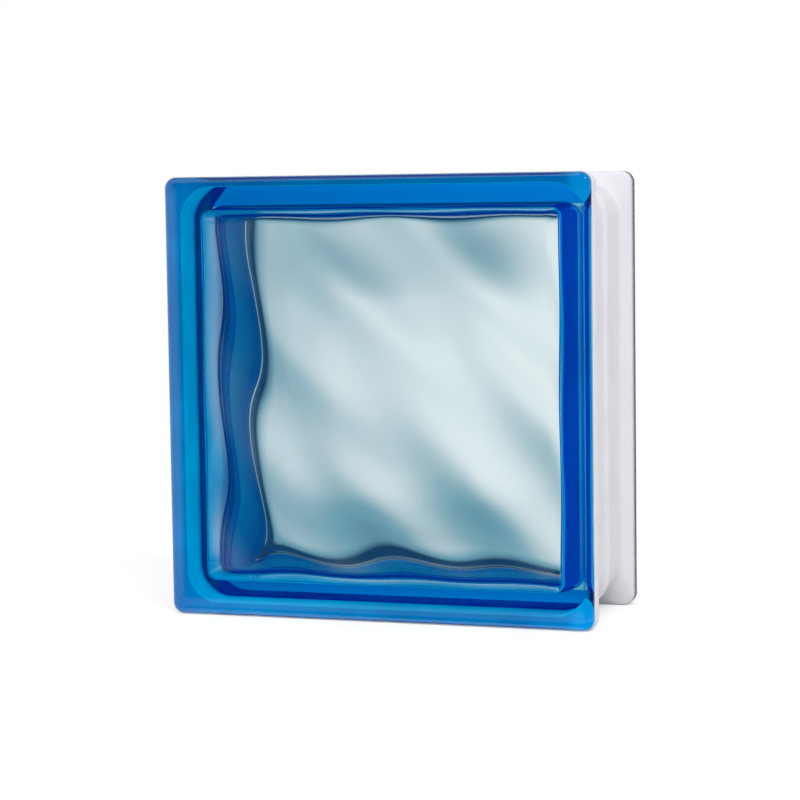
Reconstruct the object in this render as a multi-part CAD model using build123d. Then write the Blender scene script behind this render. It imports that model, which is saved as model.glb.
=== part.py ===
from build123d import *
import math
import os

# A hollow pressed glass block: two pressed halves fused at mid depth round a sealed
# cavity, with a coat on the four sides that face the mortar.
# Millimetres. X is across, Y runs from the front face to the back face, Z is up.
# The origin is at the middle of the bottom, and the front face looks towards -Y.

# Whole block
WIDTH = 190.0  # across a face, over the coat; the height is the same
DEPTH = 80.0  # from the front face to the back face

# Coat on the four sides
COAT = 0.4  # its thickness
COAT_START = 3.2  # how far behind each face the coat begins, past its rounded edge

# Flange round each face
FLANGE = 10.0  # depth of its flat band
FLANGE_CORNER = 5.0  # corner radius over the coat, seen from the front
FACE_EDGE = 3.0  # rounding between a face and its flange
SHOULDER = 3.0  # depth in which the flange falls to the channel

# Mortar channel and the seam round its middle
CHANNEL = 4.5  # how deep the channel lies below the flange
CHANNEL_CORNER = 15.0  # corner radius of its floor, over the coat
BEAD_RISE = 1.8  # how far the seam's roll stands out of the channel
BEAD_WIDTH = 4.4  # of the whole roll, over both halves
BEAD_ROUND = 1.5  # rounding of the roll's shoulders

# Sealed cavity
PANE = 8.0  # mean thickness of the glass in the middle of a face
BORDER_RISE = 2.0  # how much thicker the pane is where it meets the walls
BORDER_WIDTH = 40.0  # of the border over which it thickens
WALL = 9.9  # glass between the channel and the cavity, beside the pane
DRAFT = 4.5  # degrees that the cavity widens by towards the seam, on each side
CAVITY_CORNER = 4.0  # corner radius beside the pane
INNER_BEAD_RISE = 2.4  # ridge of fused glass round the inside of the seam
INNER_BEAD_WIDTH = 5.0  # of the whole ridge, over both halves

# Waves pressed into the inner side of each pane: height either way, length from crest
# to crest, heading of the crests' travel in degrees, and where along it a crest lies.
# The first two share a heading, so they add up in one part of the pane and fade in
# another, and the third is a low swell across them
WAVES = (
    (0.55, 42.0, 145.0, 45.0),
    (0.35, 64.0, 145.0, 33.0),
    (0.15, 70.0, 40.0, 60.0),
)
WAVE_STEP = 5.0  # spacing of the points that carry the waved surface
OVERLAP = 2.0  # how far a cutting solid runs past what it cuts

half_depth = DEPTH / 2
glass_half_width = WIDTH / 2 - COAT
wall_half_width = glass_half_width - CHANNEL
cavity_half_width = wall_half_width - WALL
draft_slope = math.tan(math.radians(DRAFT))


def rounded_block(half_width, corner, start, end):
    """A square block with rounded corners, between two depths behind the face."""
    outline = RectangleRounded(2 * half_width, 2 * half_width, corner)
    return Pos(0, 0, start) * extrude(outline, end - start)


def tapered_block(start, end, start_size, end_size):
    """A block whose half width and corner radius change between two depths."""
    sections = []
    for depth, (half_width, corner) in ((start, start_size), (end, end_size)):
        outline = RectangleRounded(2 * half_width, 2 * half_width, corner)
        sections.append(Pos(0, 0, depth) * outline)
    return loft(sections, ruled=True)


def envelope(growth):
    """The outside of a half from its face to the seam, grown outward on its sides."""
    flange_size = (glass_half_width + growth, FLANGE_CORNER - COAT + growth)
    wall_size = (wall_half_width + growth, CHANNEL_CORNER - COAT + growth)
    turn = math.atan2(CHANNEL, SHOULDER)
    shift = growth * math.tan(turn / 2)
    flange_end = FLANGE + shift
    wall_start = FLANGE + SHOULDER + shift
    flange = rounded_block(*flange_size, 0, flange_end)
    flange = fillet(flange.edges().group_by(Axis.Z)[0], FACE_EDGE + growth)
    shoulder = tapered_block(flange_end, wall_start, flange_size, wall_size)
    wall = rounded_block(*wall_size, FLANGE / 2, half_depth)
    bead_start = half_depth - BEAD_WIDTH / 2 - growth
    bead_half_width = wall_half_width + BEAD_RISE + growth
    bead_corner = CHANNEL_CORNER - COAT + BEAD_RISE + growth
    bead = rounded_block(bead_half_width, bead_corner, bead_start, half_depth)
    bead = fillet(bead.edges().group_by(Axis.Z)[0], BEAD_ROUND)
    return flange + shoulder + wall + bead


def wave_height(across, along):
    """How far the waved side of the pane stands from its mean plane."""
    total = 0.0
    for height, length, heading, crest in WAVES:
        angle = math.radians(heading)
        travel = across * math.cos(angle) + along * math.sin(angle)
        total += height * math.cos(2 * math.pi * (travel - crest) / length)
    return total


def border_share(offset):
    """Nought in the middle of the pane, one at the cavity's wall, along one direction."""
    share = 1 - (cavity_half_width - abs(offset)) / BORDER_WIDTH
    share = min(max(share, 0.0), 1.0)
    return share * share * (3 - 2 * share)


def border_height(across, along):
    """How much thicker the pane is at a point than in its middle."""
    return BORDER_RISE * (1 - (1 - border_share(across)) * (1 - border_share(along)))


def waved_pane():
    """Solid glass from before the face to the waved side, wider than the cavity."""
    reach = cavity_half_width + OVERLAP
    count = math.ceil(2 * reach / WAVE_STEP)
    rows = []
    for row in range(count + 1):
        along = reach * (2 * row / count - 1)
        points = []
        for column in range(count + 1):
            across = reach * (2 * column / count - 1)
            height = wave_height(across, along) + border_height(across, along)
            points.append((across, along, PANE + height))
        rows.append(points)
    surface = Face.make_surface_from_array_of_points(rows, tol=0.01)
    return Part(Solid.extrude(surface, Vector(0, 0, -2 * PANE)).wrapped)


def cavity():
    """The hollow of one half, from the waved side of the pane to the seam."""
    bead_start = half_depth - INNER_BEAD_WIDTH / 2
    pane_size = (cavity_half_width, CAVITY_CORNER)
    spread = (bead_start - PANE) * draft_slope
    bead_size = (cavity_half_width + spread, CAVITY_CORNER + spread)
    back_spread = (PANE - OVERLAP) * draft_slope
    low_size = (cavity_half_width - back_spread, CAVITY_CORNER - back_spread)
    seam_size = (bead_size[0] - INNER_BEAD_RISE, bead_size[1] - INNER_BEAD_RISE)
    hollow = tapered_block(OVERLAP, bead_start, low_size, bead_size)
    hollow += tapered_block(bead_start, half_depth, bead_size, seam_size)
    return hollow - waved_pane()


def pressed_half():
    """One half, with its face at zero and its depth upward."""
    return envelope(0) - cavity()


def coat_half():
    """The coat on one half's sides."""
    skin = envelope(COAT) - envelope(0)
    reach = WIDTH / 2 + OVERLAP
    keep = rounded_block(reach, FLANGE_CORNER, COAT_START, half_depth)
    return skin & keep


def stand_front(shape):
    """Stand a half up as the front one."""
    return Pos(0, -half_depth, WIDTH / 2) * Rot(-90, 0, 0) * shape


def stand_back(shape):
    """Stand a half up as the back one: the same pressing, given a quarter turn."""
    return Pos(0, half_depth, WIDTH / 2) * Rot(90, 0, 0) * Rot(0, 0, 90) * shape


os.makedirs("parts", exist_ok=True)
half = pressed_half()
coat = coat_half()
export_step(stand_front(half), "parts/front_half.step")
export_step(stand_back(half), "parts/back_half.step")
export_step(stand_front(coat) + stand_back(coat), "parts/edge_coating.step")
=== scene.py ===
import math

import bmesh
import bpy
from mathutils import Matrix, Vector


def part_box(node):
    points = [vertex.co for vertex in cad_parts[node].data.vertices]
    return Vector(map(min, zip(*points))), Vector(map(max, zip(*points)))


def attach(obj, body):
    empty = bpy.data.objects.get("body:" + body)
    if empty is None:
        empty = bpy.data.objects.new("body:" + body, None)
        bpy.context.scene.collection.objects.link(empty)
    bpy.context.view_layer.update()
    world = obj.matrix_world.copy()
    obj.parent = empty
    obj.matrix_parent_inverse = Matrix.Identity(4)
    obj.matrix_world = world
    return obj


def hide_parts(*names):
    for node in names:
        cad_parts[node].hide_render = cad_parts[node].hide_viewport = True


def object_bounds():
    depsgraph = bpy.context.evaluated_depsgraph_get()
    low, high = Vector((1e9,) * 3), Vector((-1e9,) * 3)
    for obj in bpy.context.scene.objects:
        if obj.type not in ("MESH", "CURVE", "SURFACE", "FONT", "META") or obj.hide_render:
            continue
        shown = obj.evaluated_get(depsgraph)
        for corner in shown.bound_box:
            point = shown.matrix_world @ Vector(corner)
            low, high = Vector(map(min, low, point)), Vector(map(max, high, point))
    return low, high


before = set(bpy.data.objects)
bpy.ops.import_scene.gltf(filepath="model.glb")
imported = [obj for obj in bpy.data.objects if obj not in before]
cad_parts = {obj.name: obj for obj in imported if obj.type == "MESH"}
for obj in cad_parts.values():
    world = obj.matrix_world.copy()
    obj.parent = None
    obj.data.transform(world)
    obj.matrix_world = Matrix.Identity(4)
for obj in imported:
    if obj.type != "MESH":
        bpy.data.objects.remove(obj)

bl_info = {
    "name": "Glass Block",
    "version": (1, 0, 0),
    "blender": (4, 5, 0),
    "location": "View3D > Sidebar > Glass Block",
    "description": "Builds a hollow pressed glass block with coated edges",
    "category": "Add Mesh",
}

MM = 0.001
BODY = "root"
CAD_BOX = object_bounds()
GLASS_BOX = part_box("front_half")
BLOCK_WIDTH = CAD_BOX[1][0] - CAD_BOX[0][0]
BLOCK_DEPTH = CAD_BOX[1][1] - CAD_BOX[0][1]
GLASS_WIDTH = GLASS_BOX[1][0] - GLASS_BOX[0][0]
BLOCK_MIDDLE = Vector((0, 0, BLOCK_WIDTH / 2))

GRID_HALF = 40  # steps from the middle of a face to its edge; a ring has eight times as many
ARC_HALF = 6  # steps from the middle of a rounded corner to its end
CLEAR, COATED, SEAM = range(3)  # what a face of the glass is
WAVE_COUNT = 3
SEAM_GAP = 0.01 * MM  # keeps the two films of the seam apart
HOLD = 0.08  # share of a flat after which its shading is held straight

# Finer points of the shapes. Lengths are in millimetres, and the rest are shares
FACE_EDGE_LEAST_CORNER = 0.35  # of the flange's corner radius that the face's corner keeps
FACE_BORDER = 0.3  # flat strip between the face's grid and its falling border
FLANGE_START = 0.2  # from the end of the edge rounding to the flange's first ring
ROLL_SLOPE = 0.4  # of the seam roll's rise, as the width of its sloping side
SIDE_CUTS = ((1.0, 1.0), (2.0, 2.0), (0.9, 0.4), (0.4, 0.4))  # roundings from flange to seam
RIDGE_TOP = 0.8  # of the inner ridge's rise that its rounded top takes in
RIDGE_LIP = 0.3  # depth of the lip where the two ridges meet
RIDGE_CUTS = ((0.2, 0.8), (0.8, 0.8))  # roundings of the inner ridge
PANE_INSET = 1.05  # the pane's grid begins just past its rounding
WAVE_FADE = 3.0  # the waves fade out up a wall over this many times its rounding
COAT_SINK = 0.05  # the coat's inner side lies this far outside the glass


# Sizes and colours that a user would change

def length(name, description, millimetres, least=0.0):
    return bpy.props.FloatProperty(
        name=name, description=description, default=millimetres * MM, min=least,
        subtype="DISTANCE", unit="LENGTH", precision=5)


def colour(name, description, value):
    return bpy.props.FloatVectorProperty(
        name=name, description=description, default=value, size=3, min=0.0, max=1.0,
        subtype="COLOR")


class PressedWave(bpy.types.PropertyGroup):
    height: length("Height", "How far the wave rises and falls", 0.5)
    pitch: length("Length", "From crest to crest", 60.0)
    heading: bpy.props.FloatProperty(
        name="Heading", description="Direction in which the crests follow each other",
        default=0.0, subtype="ANGLE")
    crest: length("Crest", "Where along its heading a crest lies", 0.0, least=-1.0)


class GlassSizes(bpy.types.PropertyGroup):
    flange: length("Flange", "Depth of the flat band round each face", 10.0)
    flange_corner: length("Flange Corner", "Corner radius of the glass, seen from the front", 4.6)
    face_edge: length("Face Edge", "Rounding between a face and its flange", 3.0)
    fall_width: length("Fall Width", "Border of a face that falls off slightly", 5.0)
    fall: length("Fall", "How far the border falls off", 0.25)
    shoulder: length("Shoulder", "Depth in which the flange falls to the channel", 3.0)
    channel: length("Channel", "Depth of the mortar channel", 4.5)
    channel_corner: length("Channel Corner", "Corner radius of the channel's floor", 14.6)
    bead_rise: length("Seam Rise", "How far the seam stands out of the channel", 1.8)
    bead_width: length("Seam Width", "Width of the seam's roll", 4.4)
    pane: length("Pane", "Mean thickness in the middle of a pane", 8.0)
    border_rise: length("Border Rise", "How much thicker a pane is at its walls", 2.0)
    border_width: length("Border Width", "Border over which a pane thickens", 40.0)
    wall: length("Wall", "Glass between the channel and the cavity", 9.9)
    cavity_corner: length("Cavity Corner", "Corner radius of the cavity beside the pane", 4.0)
    cavity_round: length("Cavity Round", "Reach up a wall of its rounding into the pane", 2.5)
    pane_round: length("Pane Round", "Reach across the pane of that rounding", 6.0)
    inner_rise: length("Inner Seam Rise", "Ridge round the inside of the seam", 2.4)
    inner_width: length("Inner Seam Width", "Width of the ridge inside the seam", 5.0)
    draft: bpy.props.FloatProperty(
        name="Draft", description="Slope of the cavity's walls", default=math.radians(4.5),
        subtype="ANGLE")
    waves: bpy.props.CollectionProperty(type=PressedWave)
    blue: colour("Flange Blue", "Coat of the flanges, seen through the glass", (0.0, 0.4, 0.86))
    # Painted light: the channel's blue is a brighter copy of the flange's blue, for the light that
    # reaches the channel floor from the cavity
    floor: colour("Channel Blue", "Coat of the channel, seen through the glass", (0.0, 0.6, 0.98))
    # Colour of the coat's clouds, and also of its painted shade near the top and the foot behind the
    # front face and towards the back on the left
    shade_and_cloud_blue: colour("Deep Blue", "Clouds in the coat, seen through the glass", (0.0, 0.2, 0.54))
    # Painted glow: the coat's emission stands in for light, stronger in the front half's channel and
    # on the right side, which faces the lamp
    glow: colour("Coat Glow", "Light that comes in through the coat", (0.0, 0.02, 0.08))
    near: colour("Near Coat Glow", "The same in the front half's channel", (0.0, 0.14, 0.26))
    lit: colour("Lit Coat Glow", "The same on the side that faces the lamp", (0.0, 0.14, 0.3))
    seam: colour("Seam Film", "Tint of light that crosses the seam", (0.0, 0.48, 0.86))
    # Painted light: a paler film on the left side, so that the left wall looks lit from the right
    lit_left_film: colour("Pale Seam Film", "The same where the film is thin", (0.36, 0.63, 0.78))
    ridge: colour("Ridge Film", "Tint of light that crosses the ridge", (0.5, 0.8, 0.92))
    tint: colour("Glass Tint", "Colour of the glass", (0.92, 0.97, 0.975))


class CoatSizes(bpy.types.PropertyGroup):
    thickness: length("Thickness", "Thickness of the coat", 0.4)
    start: length("Start", "How far behind a face the coat begins", 3.2)
    white: colour("Coat", "Colour of the coat from outside", (0.74, 0.735, 0.765))
    stain: colour("Stain", "Colour of its faint stains", (0.62, 0.61, 0.64))
    thin: colour("Thin Coat", "Colour where it thins out by the back face", (0.12, 0.13, 0.17))


class StageSizes(bpy.types.PropertyGroup):
    azimuth: bpy.props.FloatProperty(
        name="Azimuth", description="Camera's turn to the right of the front",
        default=math.radians(18.93), subtype="ANGLE")
    elevation: bpy.props.FloatProperty(
        name="Elevation", description="Camera's height angle", default=math.radians(4.90),
        subtype="ANGLE")
    roll: bpy.props.FloatProperty(
        name="Roll", description="Camera's roll", default=math.radians(-0.80), subtype="ANGLE")
    distance: length("Distance", "From the camera to its target", 1092.0)
    lens: bpy.props.FloatProperty(
        name="Lens", description="Focal length on a 36 mm sensor", default=112.5, min=1.0)
    floor: colour("Floor", "Colour of the floor", (0.82, 0.82, 0.82))
    glow: bpy.props.FloatProperty(
        name="Glow", description="Light that the floor adds of its own", default=0.25, min=0.0)


# The studio, by the angle in degrees at which the block sees it: where each light begins
# to fade and where it has faded
WHITE = (1.0, 1.0, 1.0, 1.0)
TEAL = (0.17, 0.37, 0.46, 1.0)
DEEP = (0.01, 0.05, 0.12, 1.0)
SHEET = ((-13.0, -34.0), (14.0, 26.0), (-6.0, 11.0), (-2.0, -14.5))  # left, right, top, foot
HALO = ((-28.0, -42.0), (26.0, 38.0), (6.0, 18.0), (-13.0, -21.0))
ROOM = (0.8, 0.8, 0.82, 1.0)
INSIDE_WAY = (0.55, -0.5, 0.67)
INSIDE_EVEN, INSIDE_AIMED = 0.5, 1.7
DARK = (0.006, 0.006, 0.01)
LEFT_LAMP = ((25.0, 34.0), (105.0, 130.0))
LEFT_LAMP_LIGHT, TABLE_LIGHT, BACKDROP_LIGHT = 1.0, 0.5, 0.25
TOP_LAMP_WAY = (0.58, -0.41, 0.71)
TOP_LAMP_ANGLE, TOP_LAMP_LIGHT = 10.0, 12.0

TABLE = ((-10.0, -13.0), (-16.0, -24.0))
BACKDROP_RISE = (0.0, 0.3)  # by how squarely a ray heads for the back
LAMPS = (  # name, place in metres, side in metres and power in watts
    ("key", (0.6, -1.2, 1.3), 0.9, 8.0),
    ("fill", (-1.3, -0.6, 0.9), 0.9, 3.0),
)
FLOOR_HALF = 3.0  # metres from the middle of the floor to its edge
FLOOR_FADE = (0.14, 0.45)  # metres from the block over which the floor turns white
CAMERA_TARGET = (-1.6, 0.0, 91.7)  # millimetres
SENSOR = 36.0

# Soft ripples, as a scale and a detail, and the bumps they make, as a strength and a distance
GLASS_RIPPLE, GLASS_BUMP = (28.0, 1.0), (0.05, 0.002)
CLOUD_RIPPLE, CLOUD_RANGE, CLOUD_SHARE = (22.0, 3.0), (0.35, 0.7), 0.6
SPECK_RIPPLE, SPECK_BUMP = (1400.0, 2.0), (0.3, 0.0003)
STAIN_RIPPLE, STAIN_RANGE, STAIN_SHARE = (45.0, 4.0), (0.45, 0.75), 0.35

# Zones of the coat as seen through the glass, in millimetres
# Painted shade: the coat is darker near the top and the foot behind the front face, and near the
# back face on the left, where less light reaches it
TOP_PAINTED_SHADE = (8.0, 5.0)  # inward from the top and the foot
FRONT_PAINTED_SHADE = (10.0, 6.0)  # behind the front face
BACK_PAINTED_SHADE = (36.0, 8.0)  # before the back face, on the left
LEFT_REACH = 12.0  # inward from the left side
LIT_REACH = (14.0, 8.0)  # inward from the right side, which faces the lamp
NEAR_CHANNEL = (4.0, 8.0)  # before the seam
SHOULDER_BLEND = 1.0  # over which the channel's blue turns into the flange's
RIDGE_BLEND = 0.8  # over which the ridge's clear film turns into the seam's
RIDGE_STEP = 1.4  # the clear film ends this much earlier at the top and the foot
RIM_SPECKLE = 14.0  # how far the specks move the coat's thin rim
RIM = (1.5, -1.5)  # before the back face, once the specks have moved it

# The waves are those of the part: height, length, heading in degrees, crest
PART_WAVES = (
    (0.55, 42.0, 145.0, 45.0),
    (0.35, 64.0, 145.0, 33.0),
    (0.15, 70.0, 40.0, 60.0),
)


# Node trees

def input_socket(tree, name, kind, default=None):
    socket = tree.interface.new_socket(name=name, in_out="INPUT", socket_type=kind)
    if default is not None:
        socket.default_value = default
    return socket


def output_socket(tree, name, kind):
    return tree.interface.new_socket(name=name, in_out="OUTPUT", socket_type=kind)


class Wiring:
    """Adds nodes to a tree and joins them, so that a formula reads in one line."""

    def __init__(self, tree):
        self.tree = tree

    def add(self, kind, **settings):
        node = self.tree.nodes.new(kind)
        for name, value in settings.items():
            setattr(node, name, value)
        return node

    def feed(self, socket, value):
        if isinstance(value, bpy.types.NodeSocket):
            self.tree.links.new(value, socket)
        else:
            socket.default_value = value

    def math(self, operation, *values):
        node = self.add("ShaderNodeMath", operation=operation)
        for socket, value in zip(node.inputs, values):
            self.feed(socket, value)
        return node.outputs[0]

    def smooth(self, value, low, high):
        """Nought below low, one above high, and a smooth rise between them."""
        node = self.add("ShaderNodeMapRange", interpolation_type="SMOOTHSTEP")
        for socket, part in zip(node.inputs, (value, low, high, 0.0, 1.0)):
            self.feed(socket, part)
        return node.outputs[0]

    def fade(self, angle, full, gone):
        """One before the angle named full, nought past the one named gone, in degrees."""
        node = self.add("ShaderNodeMapRange", interpolation_type="SMOOTHSTEP")
        first, last = sorted((full, gone))
        ends = (1.0, 0.0) if full < gone else (0.0, 1.0)
        parts = (angle, math.radians(first), math.radians(last), *ends)
        for socket, part in zip(node.inputs, parts):
            self.feed(socket, part)
        return node.outputs[0]

    def band(self, angle, rise, fall):
        """One between two fading edges, each given as where it starts and where it ends."""
        risen = self.math("SUBTRACT", 1.0, self.fade(angle, *rise))
        return self.math("MULTIPLY", risen, self.fade(angle, *fall))

    def window(self, aside, height, edges):
        """One within four fading edges: left, right, top and foot."""
        result = 1.0
        for angle, edge in zip((aside, aside, height, height), edges):
            result = self.math("MULTIPLY", result, self.fade(angle, *edge))
        return result

    def spread(self, value):
        """The same value on all three axes."""
        node = self.add("ShaderNodeCombineXYZ")
        for socket in node.inputs:
            self.feed(socket, value)
        return node.outputs[0]

    def aimed(self, place, way):
        """How squarely a direction points along a fixed way."""
        node = self.add("ShaderNodeVectorMath", operation="DOT_PRODUCT")
        self.feed(node.inputs[0], place)
        node.inputs[1].default_value = way
        return node.outputs["Value"]

    def mix(self, factor, first, second):
        node = self.add("ShaderNodeMix", data_type="RGBA")
        self.feed(node.inputs[0], factor)
        self.feed(node.inputs[6], first)
        self.feed(node.inputs[7], second)
        return node.outputs[2]


def wave_group():
    """One wave of the pressed relief, as a height over a point of the pane."""
    tree = bpy.data.node_groups.new("Pressed Wave", "GeometryNodeTree")
    for name in ("Across", "Along", "Height", "Length", "Heading", "Crest"):
        input_socket(tree, name, "NodeSocketFloat")
    output_socket(tree, "Rise", "NodeSocketFloat")
    wire = Wiring(tree)
    given = wire.add("NodeGroupInput").outputs
    across = wire.math("MULTIPLY", given["Across"], wire.math("COSINE", given["Heading"]))
    along = wire.math("MULTIPLY", given["Along"], wire.math("SINE", given["Heading"]))
    travel = wire.math("SUBTRACT", wire.math("ADD", across, along), given["Crest"])
    turns = wire.math("DIVIDE", travel, given["Length"])
    swing = wire.math("COSINE", wire.math("MULTIPLY", turns, 2 * math.pi))
    rise = wire.math("MULTIPLY", given["Height"], swing)
    wire.feed(wire.add("NodeGroupOutput").inputs["Rise"], rise)
    return tree


def border_group():
    """The thickening of a pane towards its walls, as a height over a point of the pane."""
    tree = bpy.data.node_groups.new("Pane Border", "GeometryNodeTree")
    for name in ("Across", "Along", "Rise", "Width", "Half Width"):
        input_socket(tree, name, "NodeSocketFloat")
    output_socket(tree, "Rise", "NodeSocketFloat")
    wire = Wiring(tree)
    given = wire.add("NodeGroupInput").outputs
    start = wire.math("SUBTRACT", given["Half Width"], given["Width"])
    flat = 1.0
    for name in ("Across", "Along"):
        offset = wire.math("ABSOLUTE", given[name])
        share = wire.smooth(offset, start, given["Half Width"])
        flat = wire.math("MULTIPLY", flat, wire.math("SUBTRACT", 1.0, share))
    rise = wire.math("MULTIPLY", wire.math("SUBTRACT", 1.0, flat), given["Rise"])
    wire.feed(wire.add("NodeGroupOutput").inputs["Rise"], rise)
    return tree


def pressing_group(wave, border):
    """Presses the waves into the inner side of a half's pane and gives its materials."""
    tree = bpy.data.node_groups.new("Pressed Half", "GeometryNodeTree")
    input_socket(tree, "Geometry", "NodeSocketGeometry")
    for number in range(1, WAVE_COUNT + 1):
        for name in ("Height", "Length", "Heading", "Crest"):
            input_socket(tree, f"{name} {number}", "NodeSocketFloat")
    for name in ("Border Rise", "Border Width", "Half Width"):
        input_socket(tree, name, "NodeSocketFloat")
    for name in ("Clear Glass", "Coated Glass", "Seam"):
        input_socket(tree, name, "NodeSocketMaterial")
    output_socket(tree, "Geometry", "NodeSocketGeometry")
    wire = Wiring(tree)
    given = wire.add("NodeGroupInput").outputs
    place = wire.add("ShaderNodeSeparateXYZ")
    wire.feed(place.inputs[0], wire.add("GeometryNodeInputPosition").outputs[0])
    node = wire.add("GeometryNodeGroup", node_tree=border)
    wire.feed(node.inputs["Across"], place.outputs["X"])
    wire.feed(node.inputs["Along"], place.outputs["Y"])
    wire.feed(node.inputs["Rise"], given["Border Rise"])
    wire.feed(node.inputs["Width"], given["Border Width"])
    wire.feed(node.inputs["Half Width"], given["Half Width"])
    rise = node.outputs["Rise"]
    for number in range(1, WAVE_COUNT + 1):
        node = wire.add("GeometryNodeGroup", node_tree=wave)
        wire.feed(node.inputs["Across"], place.outputs["X"])
        wire.feed(node.inputs["Along"], place.outputs["Y"])
        for name in ("Height", "Length", "Heading", "Crest"):
            wire.feed(node.inputs[name], given[f"{name} {number}"])
        rise = wire.math("ADD", rise, node.outputs["Rise"])
    waved = wire.add("GeometryNodeInputNamedAttribute", data_type="FLOAT")
    waved.inputs["Name"].default_value = "waved"
    offset = wire.add("ShaderNodeCombineXYZ")
    wire.feed(offset.inputs["Z"], wire.math("MULTIPLY", rise, waved.outputs["Attribute"]))
    pressed = wire.add("GeometryNodeSetPosition")
    wire.feed(pressed.inputs["Geometry"], given["Geometry"])
    wire.feed(pressed.inputs["Offset"], offset.outputs[0])
    realized = wire.add("GeometryNodeRealizeInstances")
    wire.feed(realized.inputs["Geometry"], pressed.outputs[0])
    shape = realized.outputs[0]
    skin = wire.add("GeometryNodeInputNamedAttribute", data_type="INT")
    skin.inputs["Name"].default_value = "skin"
    for number, name in ((CLEAR, "Clear Glass"), (COATED, "Coated Glass"), (SEAM, "Seam")):
        chosen = wire.add("FunctionNodeCompare", data_type="INT", operation="EQUAL")
        wire.feed(chosen.inputs[2], skin.outputs["Attribute"])
        chosen.inputs[3].default_value = number
        given_material = wire.add("GeometryNodeSetMaterial")
        wire.feed(given_material.inputs["Geometry"], shape)
        wire.feed(given_material.inputs["Selection"], chosen.outputs[0])
        wire.feed(given_material.inputs["Material"], given[name])
        shape = given_material.outputs[0]
    wire.feed(wire.add("NodeGroupOutput").inputs["Geometry"], shape)
    return tree


# Materials

def new_material(name):
    material = bpy.data.materials.new(name)
    material.use_nodes = True
    material.node_tree.nodes.clear()
    wire = Wiring(material.node_tree)
    return material, wire, wire.add("ShaderNodeOutputMaterial")


def ripple_group():
    """Soft unevenness of a moulded or sprayed surface, as a height. It is made once."""
    tree = bpy.data.node_groups.get("Soft Ripple")
    if tree:
        return tree
    tree = bpy.data.node_groups.new("Soft Ripple", "ShaderNodeTree")
    input_socket(tree, "Place", "NodeSocketVector")
    input_socket(tree, "Scale", "NodeSocketFloat", 40.0)
    input_socket(tree, "Detail", "NodeSocketFloat", 2.0)
    output_socket(tree, "Height", "NodeSocketFloat")
    wire = Wiring(tree)
    given = wire.add("NodeGroupInput").outputs
    noise = wire.add("ShaderNodeTexNoise")
    wire.feed(noise.inputs["Vector"], given["Place"])
    wire.feed(noise.inputs["Scale"], given["Scale"])
    wire.feed(noise.inputs["Detail"], given["Detail"])
    wire.feed(wire.add("NodeGroupOutput").inputs["Height"], noise.outputs[0])
    return tree


def add_ripple(wire, ripple, place, scale, detail):
    node = wire.add("ShaderNodeGroup", node_tree=ripple)
    wire.feed(node.inputs["Place"], place)
    node.inputs["Scale"].default_value = scale
    node.inputs["Detail"].default_value = detail
    return node.outputs["Height"]


def from_side(distances):
    """Distances inward from a side of the block, as offsets from its middle."""
    return [BLOCK_WIDTH / 2 - distance * MM for distance in distances]


def from_face(distances):
    """Distances inward from a face of the block, as offsets from its middle."""
    return [BLOCK_DEPTH / 2 - distance * MM for distance in distances]


def bump(wire, height, strength, distance):
    node = wire.add("ShaderNodeBump")
    node.inputs["Strength"].default_value = strength
    node.inputs["Distance"].default_value = distance
    wire.feed(node.inputs["Height"], height)
    return node.outputs[0]


def clear_glass_material(sizes, ripple):
    """Pressed glass, slightly uneven."""
    material, wire, output = new_material("clear_glass")
    place = wire.add("ShaderNodeTexCoord").outputs["Object"]
    glass = wire.add("ShaderNodeBsdfPrincipled")
    glass.inputs["Base Color"].default_value = (*sizes.tint, 1.0)
    glass.inputs["Roughness"].default_value = 0.0
    glass.inputs["IOR"].default_value = 1.5
    glass.inputs["Transmission Weight"].default_value = 1.0
    height = add_ripple(wire, ripple, place, *GLASS_RIPPLE)
    wire.feed(glass.inputs["Normal"], bump(wire, height, *GLASS_BUMP))
    wire.feed(output.inputs["Surface"], glass.outputs[0])
    return material


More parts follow.
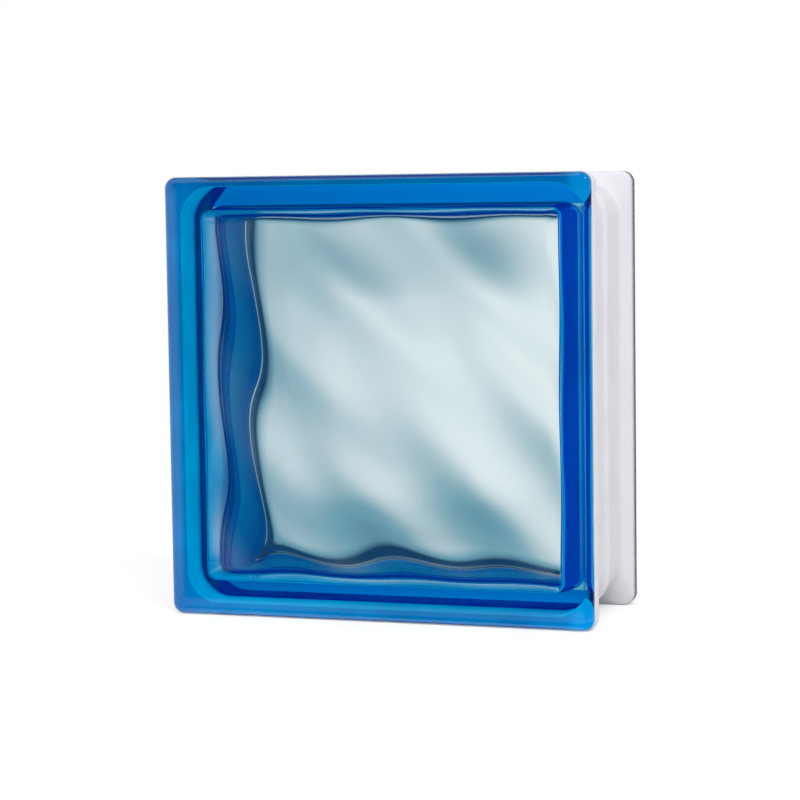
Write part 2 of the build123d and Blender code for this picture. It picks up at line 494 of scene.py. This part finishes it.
def coated_glass_material(sizes, ripple):
    """The side of the glass that carries the coat, blue as seen through the glass, with painted
    shade near the top and the foot behind the front face and towards the back on the left, a
    brighter painted-light blue in the channel, and a painted glow.
    """
    material, wire, output = new_material("coated_glass")
    paint = wire.add("ShaderNodeBsdfPrincipled")
    place = wire.add("ShaderNodeTexCoord").outputs["Object"]
    axes = wire.add("ShaderNodeSeparateXYZ")
    wire.feed(axes.inputs[0], place)
    backward = axes.outputs["Y"]
    forward = wire.math("MULTIPLY", backward, -1.0)
    height = wire.math("ABSOLUTE", wire.math("SUBTRACT", axes.outputs["Z"], BLOCK_MIDDLE.z))
    # Painted light: the channel takes the brighter channel blue in place of the light that reaches
    # it
    behind = BLOCK_DEPTH / 2 - sizes.flange - sizes.shoulder
    depth = wire.math("ABSOLUTE", backward)
    flange = wire.smooth(depth, behind - SHOULDER_BLEND * MM, behind)
    blue = wire.mix(flange, (*sizes.floor, 1.0), (*sizes.blue, 1.0))
    cloud = wire.smooth(add_ripple(wire, ripple, place, *CLOUD_RIPPLE), *CLOUD_RANGE)
    cloud = wire.math("MULTIPLY", cloud, CLOUD_SHARE)
    # Painted shade: the coat turns deep blue near the top and the foot behind the front face and
    # towards the back on the left, and also in its clouds
    level = wire.smooth(height, *from_side(TOP_PAINTED_SHADE))
    edge = wire.smooth(forward, *from_face(FRONT_PAINTED_SHADE))
    far = wire.smooth(backward, *from_face(BACK_PAINTED_SHADE))
    left = wire.math("LESS_THAN", axes.outputs["X"], LEFT_REACH * MM - BLOCK_WIDTH / 2)
    dusk = wire.math("MAXIMUM", wire.math("MULTIPLY", level, edge), wire.math("MULTIPLY", far, left))
    dusk = wire.math("MAXIMUM", dusk, cloud)
    wire.feed(paint.inputs["Base Color"], wire.mix(dusk, blue, (*sizes.shade_and_cloud_blue, 1.0)))
    # Painted glow: emission on the coat in place of light, stronger in the front half's channel and
    # on the right side, which faces the lamp
    lit = wire.smooth(axes.outputs["X"], *from_side(LIT_REACH))
    near = wire.smooth(forward, *(distance * MM for distance in NEAR_CHANNEL))
    near = wire.math("MULTIPLY", near, wire.math("SUBTRACT", 1.0, flange))
    glow = wire.mix(near, (*sizes.glow, 1.0), (*sizes.near, 1.0))
    glow = wire.mix(lit, glow, (*sizes.lit, 1.0))
    wire.feed(paint.inputs["Emission Color"], glow)
    paint.inputs["Emission Strength"].default_value = 1.0
    paint.inputs["Roughness"].default_value = 0.5
    paint.inputs["Specular IOR Level"].default_value = 0.0
    wire.feed(output.inputs["Surface"], paint.outputs[0])
    return material


def seam_material(sizes):
    """The fused faces of the two halves: a film of the coat's blue in the glass."""
    material, wire, output = new_material("fused_seam")
    film = wire.add("ShaderNodeBsdfTransparent")
    place = wire.add("ShaderNodeSeparateXYZ")
    wire.feed(place.inputs[0], wire.add("ShaderNodeTexCoord").outputs["Object"])
    aside = wire.math("ABSOLUTE", place.outputs["X"])
    height = wire.math("ABSOLUTE", wire.math("SUBTRACT", place.outputs["Z"], BLOCK_MIDDLE.z))
    outward = wire.math("MAXIMUM", aside, wire.math("ADD", height, RIDGE_STEP * MM))
    ridge = GLASS_WIDTH / 2 - sizes.channel - sizes.wall + sizes.inner_rise
    past_ridge = ridge + RIDGE_BLEND * MM
    within = wire.smooth(outward, ridge, past_ridge)
    tint = wire.mix(within, (*sizes.ridge, 1.0), (*sizes.seam, 1.0))
    # Painted light: the film is paler on the left side, which makes the left wall look lit
    left = wire.smooth(wire.math("MULTIPLY", place.outputs["X"], -1.0), ridge, past_ridge)
    tint = wire.mix(left, tint, (*sizes.lit_left_film, 1.0))
    wire.feed(film.inputs["Color"], tint)
    wire.feed(output.inputs["Surface"], film.outputs[0])
    return material


def coat_material(sizes, ripple):
    """The coat from outside: matt, slightly uneven."""
    material, wire, output = new_material("edge_coat")
    place = wire.add("ShaderNodeTexCoord").outputs["Object"]
    paint = wire.add("ShaderNodeBsdfPrincipled")
    axes = wire.add("ShaderNodeSeparateXYZ")
    wire.feed(axes.inputs[0], place)
    speck = add_ripple(wire, ripple, place, *SPECK_RIPPLE)
    edge = wire.math("MULTIPLY_ADD", speck, RIM_SPECKLE * MM, axes.outputs["Y"])
    thin = wire.smooth(edge, *from_face(RIM))
    stain = wire.smooth(add_ripple(wire, ripple, place, *STAIN_RIPPLE), *STAIN_RANGE)
    stain = wire.math("MULTIPLY", stain, STAIN_SHARE)
    tone = wire.mix(stain, (*sizes.white, 1.0), (*sizes.stain, 1.0))
    wire.feed(paint.inputs["Base Color"], wire.mix(thin, tone, (*sizes.thin, 1.0)))
    paint.inputs["Roughness"].default_value = 0.6
    wire.feed(paint.inputs["Normal"], bump(wire, speck, *SPECK_BUMP))
    wire.feed(output.inputs["Surface"], paint.outputs[0])
    return material


# Shapes. A ring is a rounded square: half width, corner radius and depth behind the face

def ring_points(ring):
    """The points of a ring, counted from the middle of its first rounded corner."""
    half_width, corner, depth = ring
    centre = half_width - corner
    side = []
    for step in range(2 * GRID_HALF):
        if step < ARC_HALF:
            angle = math.radians(225 + 45 * step / ARC_HALF)
            point = (-centre + corner * math.cos(angle), -centre + corner * math.sin(angle))
        elif step <= 2 * GRID_HALF - ARC_HALF:
            share = (step - ARC_HALF) / (2 * (GRID_HALF - ARC_HALF))
            point = (centre * (2 * share - 1), -half_width)
        else:
            angle = math.radians(315 - 45 * (2 * GRID_HALF - step) / ARC_HALF)
            point = (centre + corner * math.cos(angle), -centre + corner * math.sin(angle))
        side.append(point)
    points = []
    for quarter in range(4):
        for x, y in side:
            for _ in range(quarter):
                x, y = -y, x
            points.append(Vector((x, y, depth)))
    return points


def soften(rings, cuts, steps=6):
    """Round each inner corner of a run of rings. A cut is how far the rounding reaches
    before the corner and after it."""
    result = [Vector(rings[0])]
    for before, corner, after, cut in zip(rings, rings[1:], rings[2:], cuts):
        before, corner, after = Vector(before), Vector(corner), Vector(after)
        ends = []
        for other, part in ((before, cut[0]), (after, cut[1])):
            reach = math.hypot(other[0] - corner[0], other[2] - corner[2])
            ends.append(corner.lerp(other, part / reach))
        result.append(ends[0].lerp(before, HOLD))
        for step in range(steps + 1):
            share = step / steps
            first = ends[0].lerp(corner, share)
            second = corner.lerp(ends[1], share)
            result.append(first.lerp(second, share))
        result.append(ends[1].lerp(after, HOLD))
    result.append(Vector(rings[-1]))
    return result


def edge_rounding(half_width, corner, radius, fall_width, fall, steps=10):
    """The rings of the rounding between a face and its flange, after a slight fall."""
    rings = []
    for step in range(steps):
        share = step / steps
        inward = radius + fall_width * (1 - share)
        rings.append(Vector((half_width - inward, corner, fall * share * share)))
    start = math.atan(2 * fall / fall_width)
    reach = 1 - math.sin(start)
    for step in range(steps + 1):
        angle = start + (math.pi / 2 - start) * step / steps
        inward = radius * (1 - math.sin(angle)) / reach
        depth = fall + radius * (math.cos(start) - math.cos(angle))
        turn = max(corner - inward, corner * FACE_EDGE_LEAST_CORNER)
        rings.append(Vector((half_width - inward, turn, depth)))
    return rings


def side_rings(sizes, growth=0.0):
    """The outside of a half from its edge rounding to the seam, grown outward."""
    half = GLASS_WIDTH / 2 + growth
    corner = sizes.flange_corner + growth
    floor = GLASS_WIDTH / 2 - sizes.channel + growth
    floor_corner = sizes.channel_corner + growth
    shift = growth * math.tan(math.atan2(sizes.channel, sizes.shoulder) / 2)
    roll = BLOCK_DEPTH / 2 - sizes.bead_width / 2 - growth
    rise = sizes.bead_rise
    start = sizes.face_edge + sizes.fall + growth + FLANGE_START * MM
    corners = [
        (half, corner, start),
        (half, corner, sizes.flange + shift),
        (floor, floor_corner, sizes.flange + sizes.shoulder + shift),
        (floor, floor_corner, roll),
        (floor + rise, floor_corner + rise, roll + ROLL_SLOPE * rise),
        (floor + rise, floor_corner + rise, BLOCK_DEPTH / 2 - SEAM_GAP),
    ]
    return soften(corners, [(before * MM, after * MM) for before, after in SIDE_CUTS])


def cavity_rings(sizes):
    """The inside of a half from the seam to the edge of the waved pane."""
    slope = math.tan(sizes.draft)
    seam = BLOCK_DEPTH / 2 - SEAM_GAP
    beside_pane = GLASS_WIDTH / 2 - sizes.channel - sizes.wall
    ridge = seam - sizes.inner_width / 2
    spread = (ridge - sizes.pane) * slope
    by_ridge = (beside_pane + spread, sizes.cavity_corner + spread)
    inset = sizes.pane_round * PANE_INSET
    top = sizes.inner_rise
    shoulder = sizes.inner_rise * RIDGE_TOP
    corners = [
        (by_ridge[0] - top, by_ridge[1] - top, seam),
        (by_ridge[0] - shoulder, by_ridge[1] - shoulder, seam - RIDGE_LIP * MM),
        (*by_ridge, ridge),
        (beside_pane, sizes.cavity_corner, sizes.pane),
        (beside_pane - inset, sizes.cavity_corner, sizes.pane),
    ]
    cuts = [(before * MM, after * MM) for before, after in RIDGE_CUTS]
    cuts.append((sizes.cavity_round, sizes.pane_round))
    return soften(corners, cuts, steps=12)


class ShellMesh:
    """Vertices and faces of a shell made of rings and square grids."""

    def __init__(self):
        self.points, self.faces, self.skins, self.waved = [], [], [], []

    def add_ring(self, ring, waved=0.0):
        start = len(self.points)
        self.points.extend(ring_points(ring))
        self.waved.extend([waved] * 8 * GRID_HALF)
        return list(range(start, len(self.points)))

    def join(self, first, second, skin):
        count = len(first)
        for index in range(count):
            after = (index + 1) % count
            self.faces.append((first[index], first[after], second[after], second[index]))
            self.skins.append(skin)

    def fill(self, edge, skin, waved=0.0):
        """Fill a ring with a square grid whose outermost points are the ring's."""
        outline = [self.points[index] for index in edge]
        half_width = max(point.x for point in outline)
        depth = outline[0].z
        grid = {}
        for i in range(-GRID_HALF, GRID_HALF + 1):
            for j in range(-GRID_HALF, GRID_HALF + 1):
                level = max(abs(i), abs(j))
                if level == 0:
                    place = 0
                elif j == -level:
                    place = i + level
                elif i == level:
                    place = 3 * level + j
                elif j == level:
                    place = 5 * level - i
                else:
                    place = 7 * level - j
                if level == GRID_HALF:
                    grid[i, j] = edge[place % len(edge)]
                    continue
                share = level / GRID_HALF
                square = Vector((i, j, 0)) * half_width / GRID_HALF
                along = place / share if level else 0.0
                low = int(along)
                bent = outline[low % len(edge)].lerp(outline[(low + 1) % len(edge)], along - low)
                point = square.lerp(bent * share, share ** 3)
                grid[i, j] = len(self.points)
                self.points.append(Vector((point.x, point.y, depth)))
                self.waved.append(waved)
        for i in range(-GRID_HALF, GRID_HALF):
            for j in range(-GRID_HALF, GRID_HALF):
                self.faces.append((grid[i, j], grid[i + 1, j], grid[i + 1, j + 1], grid[i, j + 1]))
                self.skins.append(skin)

    def mesh(self, name):
        mesh = bpy.data.meshes.new(name)
        mesh.from_pydata(self.points, [], self.faces)
        mesh.attributes.new("waved", "FLOAT", "POINT").data.foreach_set("value", self.waved)
        mesh.attributes.new("skin", "INT", "FACE").data.foreach_set("value", self.skins)
        shape = bmesh.new()
        shape.from_mesh(mesh)
        bmesh.ops.recalc_face_normals(shape, faces=shape.faces)
        shape.to_mesh(mesh)
        shape.free()
        mesh.shade_smooth()
        return mesh


def half_blank(sizes):
    """A half before its waves are pressed, with its face at depth nought."""
    shell = ShellMesh()
    rounding = edge_rounding(
        GLASS_WIDTH / 2, sizes.flange_corner, sizes.face_edge, sizes.fall_width, sizes.fall)
    inner = rounding[0] - Vector((FACE_BORDER * MM, 0, 0))
    ring = shell.add_ring(inner)
    shell.fill(ring, CLEAR)
    for target in rounding:
        following = shell.add_ring(target)
        shell.join(ring, following, CLEAR)
        ring = following
    for target in side_rings(sizes):
        following = shell.add_ring(target)
        shell.join(ring, following, COATED)
        ring = following
    skin = SEAM
    for target in cavity_rings(sizes):
        depth_share = (target.z - sizes.pane) / (WAVE_FADE * sizes.cavity_round)
        waved = min(max(1 - depth_share, 0.0), 1.0)
        following = shell.add_ring(target, waved * waved * (3 - 2 * waved))
        shell.join(ring, following, skin)
        ring = following
        skin = CLEAR
    shell.fill(ring, CLEAR, waved=1.0)
    return shell.mesh("half_blank")


def coat_mesh(sizes, coat):
    """The coat as a closed band over both halves."""
    outer = side_rings(sizes, coat.thickness)
    inner = side_rings(sizes, COAT_SINK * MM)
    depth = BLOCK_DEPTH
    for rings in (outer, inner):
        rings[0] = Vector((rings[0][0], rings[0][1], coat.start))
        rings[-1].z = depth / 2
    both = [Vector(ring) for ring in outer]
    both += [Vector((ring[0], ring[1], depth - ring[2])) for ring in reversed(outer[:-1])]
    both += [Vector((ring[0], ring[1], depth - ring[2])) for ring in inner]
    both += [Vector(ring) for ring in reversed(inner[:-1])]
    shell = ShellMesh()
    rings = [shell.add_ring(ring) for ring in both]
    for ring, following in zip(rings, rings[1:] + rings[:1]):
        shell.join(ring, following, COATED)
    mesh = shell.mesh("edge_coat")
    mesh.transform(front_place())
    return mesh


def front_place():
    """From a half's own frame to the front half's place."""
    turned = Matrix.Rotation(-math.pi / 2, 4, "X")
    return Matrix.Translation(BLOCK_MIDDLE - Vector((0, BLOCK_DEPTH / 2, 0))) @ turned


def back_place():
    """From a half's own frame to the back half's place, with its quarter turn."""
    turned = Matrix.Rotation(math.pi / 2, 4, "X") @ Matrix.Rotation(math.pi / 2, 4, "Z")
    return Matrix.Translation(BLOCK_MIDDLE + Vector((0, BLOCK_DEPTH / 2, 0))) @ turned


def press(name, blank, tree, settings):
    """Run the pressing on a blank and keep the result as a plain mesh."""
    blank_object = bpy.data.objects.new(name, blank)
    bpy.context.collection.objects.link(blank_object)
    modifier = blank_object.modifiers.new("Pressing", "NODES")
    modifier.node_group = tree
    sockets = {
        item.name: item.identifier
        for item in tree.interface.items_tree if item.in_out == "INPUT"}
    for label, value in settings.items():
        modifier[sockets[label]] = value
    graph = bpy.context.evaluated_depsgraph_get()
    pressed = bpy.data.meshes.new_from_object(
        blank_object.evaluated_get(graph), preserve_all_data_layers=True, depsgraph=graph)
    blank_object.modifiers.remove(modifier)
    blank_object.data = pressed
    pressed.name = name
    return blank_object


# Operators

class GLASSBLOCK_OT_halves(bpy.types.Operator):
    """Make the two pressed halves of clear glass"""

    bl_idname = "glassblock.halves"
    bl_label = "Glass Halves"

    def execute(self, context):
        sizes = context.scene.glassblock_glass
        if not len(sizes.waves):
            for height, pitch, heading, crest in PART_WAVES:
                wave = sizes.waves.add()
                wave.height, wave.pitch = height * MM, pitch * MM
                wave.heading, wave.crest = math.radians(heading), crest * MM
        ripple = ripple_group()
        settings = {
            "Clear Glass": clear_glass_material(sizes, ripple),
            "Coated Glass": coated_glass_material(sizes, ripple),
            "Seam": seam_material(sizes),
            "Border Rise": sizes.border_rise,
            "Border Width": sizes.border_width,
            "Half Width": GLASS_WIDTH / 2 - sizes.channel - sizes.wall,
        }
        for number, wave in enumerate(sizes.waves, 1):
            settings[f"Height {number}"] = wave.height
            settings[f"Length {number}"] = wave.pitch
            settings[f"Heading {number}"] = wave.heading
            settings[f"Crest {number}"] = wave.crest
        tree = pressing_group(wave_group(), border_group())
        blank = half_blank(sizes)
        for name, node, place in (
                ("front_glass", "front_half", front_place()),
                ("back_glass", "back_half", back_place())):
            piece = press(name, blank.copy(), tree, settings)
            piece.data.transform(place)
            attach(piece, BODY)
            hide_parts(node)
        return {"FINISHED"}


class GLASSBLOCK_OT_coat(bpy.types.Operator):
    """Make the coat on the four sides"""

    bl_idname = "glassblock.coat"
    bl_label = "Edge Coat"

    def execute(self, context):
        coat = context.scene.glassblock_coat
        mesh = coat_mesh(context.scene.glassblock_glass, coat)
        mesh.materials.append(coat_material(coat, ripple_group()))
        piece = bpy.data.objects.new("edge_coat", mesh)
        context.collection.objects.link(piece)
        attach(piece, BODY)
        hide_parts("edge_coating")
        return {"FINISHED"}


class GLASSBLOCK_OT_stage(bpy.types.Operator):
    """Make the floor, the light and the camera"""

    bl_idname = "glassblock.stage"
    bl_label = "Stage"

    def execute(self, context):
        stage = context.scene.glassblock_stage
        self.floor(context, stage)
        self.world(context)
        self.lamps(context)
        self.camera(context, stage)
        context.scene.view_settings.view_transform = "Standard"
        cycles = context.scene.cycles
        cycles.max_bounces = 24
        cycles.transmission_bounces = 24
        cycles.glossy_bounces = 12
        cycles.diffuse_bounces = 4
        cycles.transparent_max_bounces = 24
        return {"FINISHED"}

    def floor(self, context, stage):
        half = FLOOR_HALF
        mesh = bpy.data.meshes.new("floor")
        corners = [(-half, -half, 0), (half, -half, 0), (half, half, 0), (-half, half, 0)]
        mesh.from_pydata(corners, [], [(0, 1, 2, 3)])
        floor = bpy.data.objects.new("floor", mesh)
        context.collection.objects.link(floor)
        material, wire, output = new_material("floor")
        matt = wire.add("ShaderNodeBsdfDiffuse")
        matt.inputs["Color"].default_value = (*stage.floor, 1.0)
        glow = wire.add("ShaderNodeEmission")
        path = wire.add("ShaderNodeLightPath").outputs
        wire.feed(glow.inputs["Strength"], wire.math("MULTIPLY", path["Is Camera Ray"], stage.glow))
        near = wire.add("ShaderNodeAddShader")
        wire.feed(near.inputs[0], matt.outputs[0])
        wire.feed(near.inputs[1], glow.outputs[0])
        reach = wire.add("ShaderNodeVectorMath", operation="LENGTH")
        wire.feed(reach.inputs[0], wire.add("ShaderNodeTexCoord").outputs["Object"])
        far = wire.smooth(reach.outputs["Value"], *FLOOR_FADE)
        both = wire.add("ShaderNodeMixShader")
        wire.feed(both.inputs[0], wire.math("MULTIPLY", far, path["Is Camera Ray"]))
        wire.feed(both.inputs[1], near.outputs[0])
        wire.feed(both.inputs[2], wire.add("ShaderNodeEmission").outputs[0])
        wire.feed(output.inputs["Surface"], both.outputs[0])
        mesh.materials.append(material)
        floor.visible_transmission = False
        floor.visible_glossy = False

    def world(self, context):
        """White behind the block for the camera and an even room for what is matt. Through
        the glass, a white sheet stands before and behind the block, with dusk round it."""
        world = bpy.data.worlds.new("studio")
        context.scene.world = world
        world.use_nodes = True
        world.node_tree.nodes.clear()
        wire = Wiring(world.node_tree)
        path = wire.add("ShaderNodeLightPath").outputs
        heading = wire.add("ShaderNodeTexCoord").outputs["Generated"]
        way = wire.add("ShaderNodeSeparateXYZ")
        wire.feed(way.inputs[0], heading)
        ahead = wire.math("ABSOLUTE", way.outputs["Y"])
        aside = wire.math("ARCTAN2", way.outputs["X"], ahead)
        height = wire.math("ARCSINE", way.outputs["Z"])
        through = wire.mix(wire.window(aside, height, SHEET), TEAL, WHITE)
        through = wire.mix(wire.window(aside, height, HALO), DEEP, through)
        seen = wire.mix(path["Is Transmission Ray"], self.gloss(wire, heading, way, height), through)
        lit = wire.math("MAXIMUM", wire.aimed(heading, INSIDE_WAY), 0.0)
        inside = wire.spread(wire.math("MULTIPLY_ADD", lit, INSIDE_AIMED, INSIDE_EVEN))
        room = wire.mix(path["Is Transmission Ray"], ROOM, inside)
        matt = wire.math("MINIMUM", path["Diffuse Depth"], 1.0)
        seen = wire.mix(matt, seen, room)
        seen = wire.mix(path["Is Camera Ray"], seen, WHITE)
        back = wire.add("ShaderNodeBackground")
        wire.feed(back.inputs["Color"], seen)
        wire.feed(wire.add("ShaderNodeOutputWorld").inputs["Surface"], back.outputs[0])

    def gloss(self, wire, heading, way, height):
        """What the block's shine reflects: a lamp on the left and one above, the table and
        the backdrop, in a dark room."""
        turn = wire.math("ARCTAN2", wire.math("MULTIPLY", way.outputs["X"], -1.0),
                         wire.math("MULTIPLY", way.outputs["Y"], -1.0))
        lamp = wire.math("MULTIPLY", wire.band(turn, *LEFT_LAMP), LEFT_LAMP_LIGHT)
        low = wire.math("MULTIPLY", wire.band(height, *TABLE), TABLE_LIGHT)
        behind = wire.smooth(way.outputs["Y"], *BACKDROP_RISE)
        behind = wire.math("MULTIPLY", behind, BACKDROP_LIGHT)
        rim = math.cos(math.radians(TOP_LAMP_ANGLE))
        spot = wire.smooth(wire.aimed(heading, TOP_LAMP_WAY), rim, 1.0)
        spot = wire.math("MULTIPLY", spot, TOP_LAMP_LIGHT)
        shine = wire.math("MAXIMUM", lamp, low)
        for other in (behind, spot):
            shine = wire.math("MAXIMUM", shine, other)
        total = wire.add("ShaderNodeVectorMath", operation="ADD")
        wire.feed(total.inputs[0], wire.spread(shine))
        total.inputs[1].default_value = DARK
        return total.outputs[0]

    def lamps(self, context):
        for name, place, size, power in LAMPS:
            lamp = bpy.data.lights.new(name, "AREA")
            lamp.shape, lamp.size, lamp.energy = "SQUARE", size, power
            holder = bpy.data.objects.new(name, lamp)
            holder.location = place
            aim = BLOCK_MIDDLE - Vector(place)
            holder.rotation_euler = aim.to_track_quat("-Z", "Y").to_euler()
            holder.visible_transmission = False
            holder.visible_glossy = False
            context.collection.objects.link(holder)

    def camera(self, context, stage):
        a, e = stage.azimuth, stage.elevation
        back = Vector((math.sin(a) * math.cos(e), -math.cos(a) * math.cos(e), math.sin(e)))
        right = (-back).cross(Vector((0, 0, 1))).normalized()
        up = right.cross(-back)
        right, up = (right * math.cos(stage.roll) + up * math.sin(stage.roll),
                     up * math.cos(stage.roll) - right * math.sin(stage.roll))
        target = Vector(CAMERA_TARGET) * MM
        data = bpy.data.cameras.new("camera")
        data.lens, data.sensor_width, data.sensor_fit = stage.lens, SENSOR, "HORIZONTAL"
        data.clip_start = 0.01
        camera = bpy.data.objects.new("camera", data)
        turn = Matrix((right, up, back)).transposed().to_4x4()
        camera.matrix_world = Matrix.Translation(target + back * stage.distance) @ turn
        context.collection.objects.link(camera)
        context.scene.camera = camera


class GLASSBLOCK_PT_panel(bpy.types.Panel):
    """Lists the block's pieces and their sizes"""

    bl_idname = "GLASSBLOCK_PT_panel"
    bl_label = "Glass Block"
    bl_space_type = "VIEW_3D"
    bl_region_type = "UI"
    bl_category = "Glass Block"

    def draw(self, context):
        for group, operator in (
                (context.scene.glassblock_glass, GLASSBLOCK_OT_halves),
                (context.scene.glassblock_coat, GLASSBLOCK_OT_coat),
                (context.scene.glassblock_stage, GLASSBLOCK_OT_stage)):
            box = self.layout.box()
            for name in group.__annotations__:
                if name != "waves":
                    box.prop(group, name)
            box.operator(operator.bl_idname)


GROUPS = (
    ("glassblock_glass", GlassSizes),
    ("glassblock_coat", CoatSizes),
    ("glassblock_stage", StageSizes),
)
CLASSES = (
    PressedWave, GlassSizes, CoatSizes, StageSizes,
    GLASSBLOCK_OT_halves, GLASSBLOCK_OT_coat, GLASSBLOCK_OT_stage, GLASSBLOCK_PT_panel,
)


def register():
    for item in CLASSES:
        bpy.utils.register_class(item)
    for name, group in GROUPS:
        setattr(bpy.types.Scene, name, bpy.props.PointerProperty(type=group))


def unregister():
    for name, group in GROUPS:
        delattr(bpy.types.Scene, name)
    for item in reversed(CLASSES):
        bpy.utils.unregister_class(item)


def main():
    register()
    bpy.ops.glassblock.halves()
    bpy.ops.glassblock.coat()
    bpy.ops.glassblock.stage()


if __name__ == "__main__":
    main()
